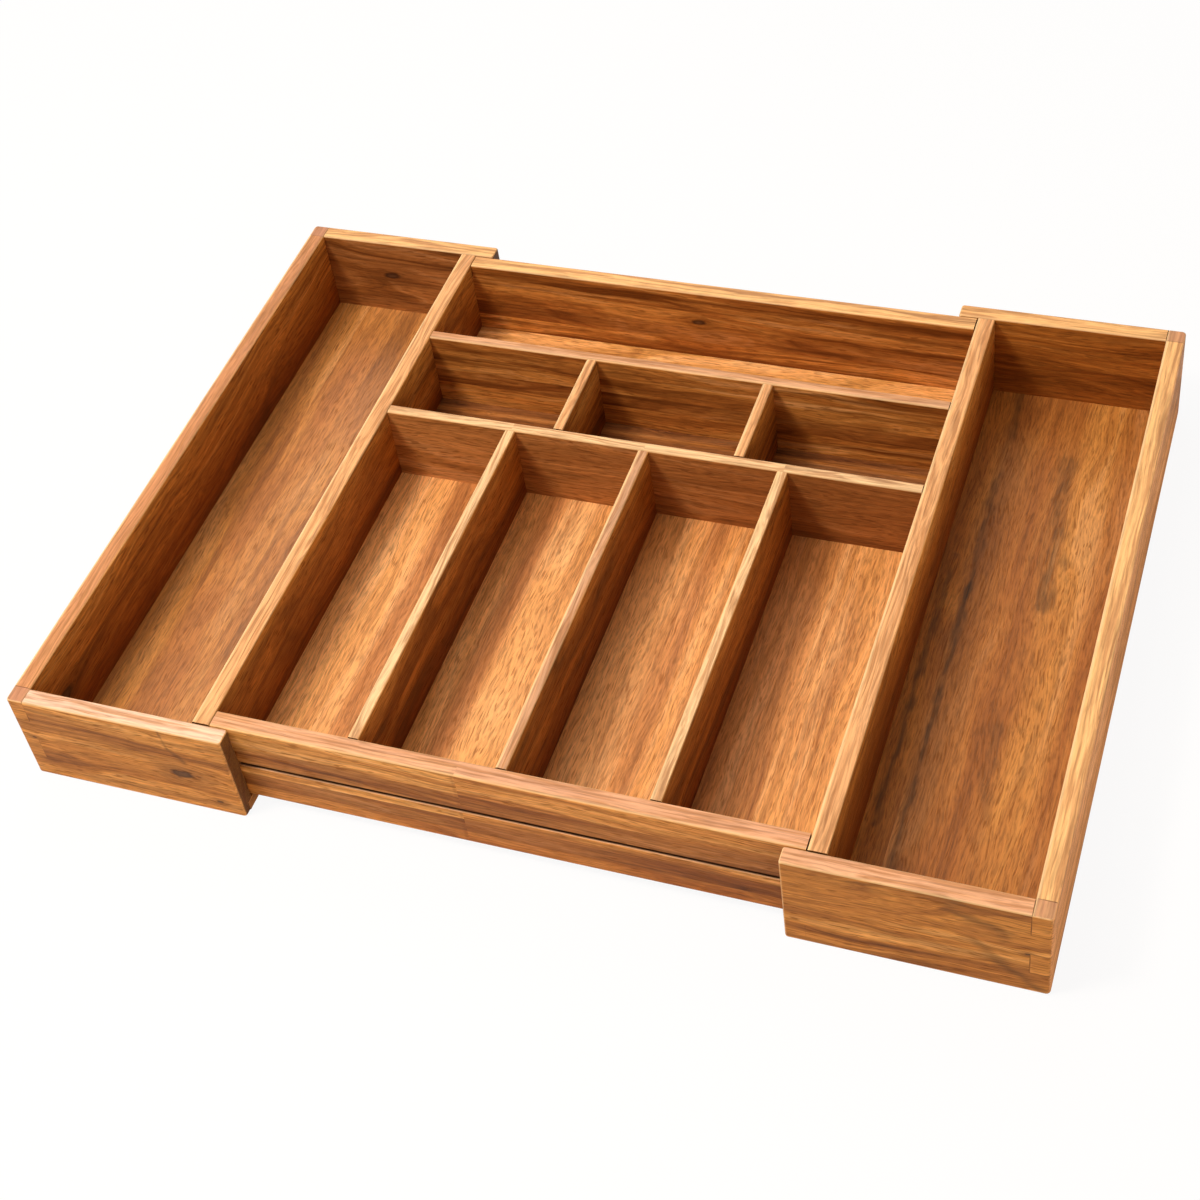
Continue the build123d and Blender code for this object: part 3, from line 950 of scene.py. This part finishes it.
CUTS = {
    "left_side_board": dict(
        grain="Y", tones="warm", pith=(60, -20), cut=0, top=RUSSET_TOP, meets="warm",
        figure=0.8, knots=[dict(at=(182, 5, 0), reach=7)]),
    "left_front_rail": dict(
        grain="X", tones="warm", pith=(90, -30), cut=1500, top=ROSE_TOP, meets="warm", wander=4,
        knots=[dict(at=(34.6, -5, -3.4), reach=6), dict(at=(53.4, -5, -23), reach=2),
               dict(at=(-58.8, -5, 1.6), reach=1.3)],
        stains=[dict(start=(29, -5, 31), end=(31, -5, 18), width=1.4, depth=0.5),
                dict(start=(31, -5, 18), end=(39, -5, 8), width=2.6, depth=0.5)]),
    "left_back_rail": dict(
        grain="X", tones="brown", pith=(90, 10), cut=2100, top=GOLD_TOP, meets="warm", stain=1.0,
        strips=[dict(axis="Z", edges=((0.0, "#DED0C4"), (0.5, "#CEBEB2")))],
        knots=[dict(at=(-11, -5, 4.6), reach=5)]),
    "left_floor_panel": dict(
        grain="Y", tones="golden", pith=(10, -60), cut=900, gloss=SHEEN, wander=5, cloudy=True,
        figure=0.7,
        strips=[dict(axis="Y", soft=5, edges=((0.0, "#E6DAC6"), (0.215, "#DCD0CE"),
                                              (0.42, "#E4DEE4")))]),
    "right_side_board": dict(
        grain="Y", tones="fawn", pith=(90, 10), cut=2700, top=GOLD_TOP, meets="warm", wander=4),
    "right_front_rail": dict(
        grain="X", tones="warm", pith=(90, 30), cut=3900, top=PINK_TOP, meets="fawn", wander=5,
        knots=[dict(at=(55.9, -5, -0.7), reach=1.4)],
        stains=[dict(start=(18, -5, 24), end=(46, -5, 14), width=8, depth=0.6),
                dict(start=(26, -5, 4), end=(62, -5, -31), width=4.5, depth=0.5),
                dict(start=(-56, -5, -18), end=(-56, -5, -32), width=0.35, depth=0.6)]),
    "right_back_rail": dict(
        grain="X", tones="warm", pith=(85, -10), cut=4500, top=GOLD_TOP, meets="fawn",
        strips=[dict(axis="Z", edges=((0.0, "#D8C8BC"), (0.5, "#ECE0D6")))]),
    "right_floor_panel": dict(
        grain="Y", tones="golden", pith=(-10, -55), cut=3700, gloss=SATIN, wander=7,
        cloudy=True, stain=0.3, figure=0.65,
        strips=[dict(axis="Y", soft=4, edges=((0.0, "#E6D8C4"), (0.30, "#C8B6AA"),
                                              (0.66, "#E6DED4"), (0.83, "#CEBCB0")))],
        stains=[dict(start=(-205, -24, 3), end=(-30, -23, 3), width=5, depth=0.6),
                dict(start=(-40, -23, 3), end=(170, -21, 3), width=3.4, depth=0.75),
                dict(start=(-60, -35, 3), end=(140, -36, 3), width=2.6, depth=0.7),
                dict(start=(-150, 14, 3), end=(-30, 21, 3), width=8, depth=0.6),
                dict(start=(60, 12, 3), end=(120, 18, 3), width=5, depth=0.4)]),
}
for side in ("left", "right"):
    for end in ("front", "back"):
        CUTS[f"{side}_{end}_guide"] = dict(grain="X", tones="warm", pith=(40, 5), cut=14100)
print("Boards of the side trays:", len(CUTS))

# %% Centre tray
FRONT_BANDS = ((0.0, "#E2D0BC"), (0.17, "#BCAAA0"), (0.35, "#FFFFFF"), (0.49, "#C8B8AC"),
               (0.72, "#FFFFFF"))
FRONT_STAVES = ((0.0, "#FFFFFF"), (0.43, "#F4ECE4"))
FLOOR_STRIPS = ((0.0, "#FFFFFF"), (0.127, "#D6C6BE"), (0.245, "#F2ECE0"), (0.305, "#C6B4A8"),
                (0.345, "#FCFAF6"), (0.50, "#EAE2D8"), (0.615, "#D8C8BC"), (0.654, "#F6EEE2"),
                (0.755, "#DACCC0"), (0.855, "#F4EEE4"))
REAR_STRIPS = ((0.0, "#B4A496"), (0.36, "#907C6C"), (0.40, "#C0AC90"), (0.42, "#8A7666"),
               (0.50, "#F6ECDE"), (0.84, "#FFFFFA"))
BACK_BANDS = ((0.0, "#F4E8DA"), (0.30, "#D0BEB2"), (0.50, "#F0E4D8"), (0.78, "#E4D4C6"))
CROSS_STAVES = ((0.0, "#F0E8E0"), (0.248, "#E6DAD0"), (0.5, "#DCCCC0"), (0.752, "#CCBAAC"))

CUTS |= {
    "centre_left_wall": dict(grain="Y", tones="warm", pith=(75, 5), cut=5100, top=AMBER_TOP,
                             figure=0.8),
    "centre_right_wall": dict(grain="Y", tones="warm", pith=(-75, 5), cut=5700, top=AMBER_TOP,
                              figure=0.8),
    "centre_front_wall": dict(
        grain="X", tones="golden", pith=(80, 5), cut=6300, top=TAWNY_TOP, wander=3, grooved=True,
        strips=[dict(axis="Z", edges=FRONT_BANDS), dict(axis="X", edges=FRONT_STAVES)]),
    "centre_back_wall": dict(
        grain="X", tones="golden", pith=(-70, 5), cut=6900, top=GOLD_TOP, grooved=True,
        stain=1.3, wander=4, strips=[dict(axis="Z", edges=BACK_BANDS)],
        knots=[dict(at=(-11, -5, 5), reach=4)]),
    "front_cross_divider": dict(grain="X", tones="brown", pith=(70, -10), cut=7500,
                                top=CREAM_TOP, figure=0.5,
                                strips=[dict(axis="X", edges=CROSS_STAVES)]),
    "rear_cross_divider": dict(grain="X", tones="golden", pith=(70, 20), cut=8100, top=FAWN_TOP,
                               stain=1.3, wander=4,
                               strips=[dict(axis="Z", edges=BACK_BANDS)]),
    "cutlery_floor_panel": dict(
        grain="Y", tones="pale", pith=(5, -70), cut=8700, gloss=SATIN, wander=6, figure=0.52,
        cloudy=True, strips=[dict(axis="Y", soft=3.5, edges=FLOOR_STRIPS)]),
    "rear_floor_panel": dict(grain="X", tones="pale", pith=(70, -50), cut=9300, stain=0.9,
                             gloss=SATIN, strips=[dict(axis="Y", soft=1.5, edges=REAR_STRIPS)]),
}
for number in (1, 2, 3):
    CUTS[f"long_divider_{number}"] = dict(
        grain="Y", tones="dark", pith=(60, 12 * number), cut=9900 + 600 * number, figure=0.8,
        top=BROWN_TOP if number == 2 else CREAM_TOP)
for number in (1, 2):
    CUTS[f"short_divider_{number}"] = dict(
        grain="Y", tones="dark", pith=(60, 15 * number), cut=12300 + 600 * number, top=AMBER_TOP)

for node, facts in CUTS.items():
    board = boards[node]
    board.data.materials.clear()
    board.data.materials.append(oiled_acacia(node, **facts))
print("Boards with their own cut of wood:", len(CUTS), "of", len(boards))
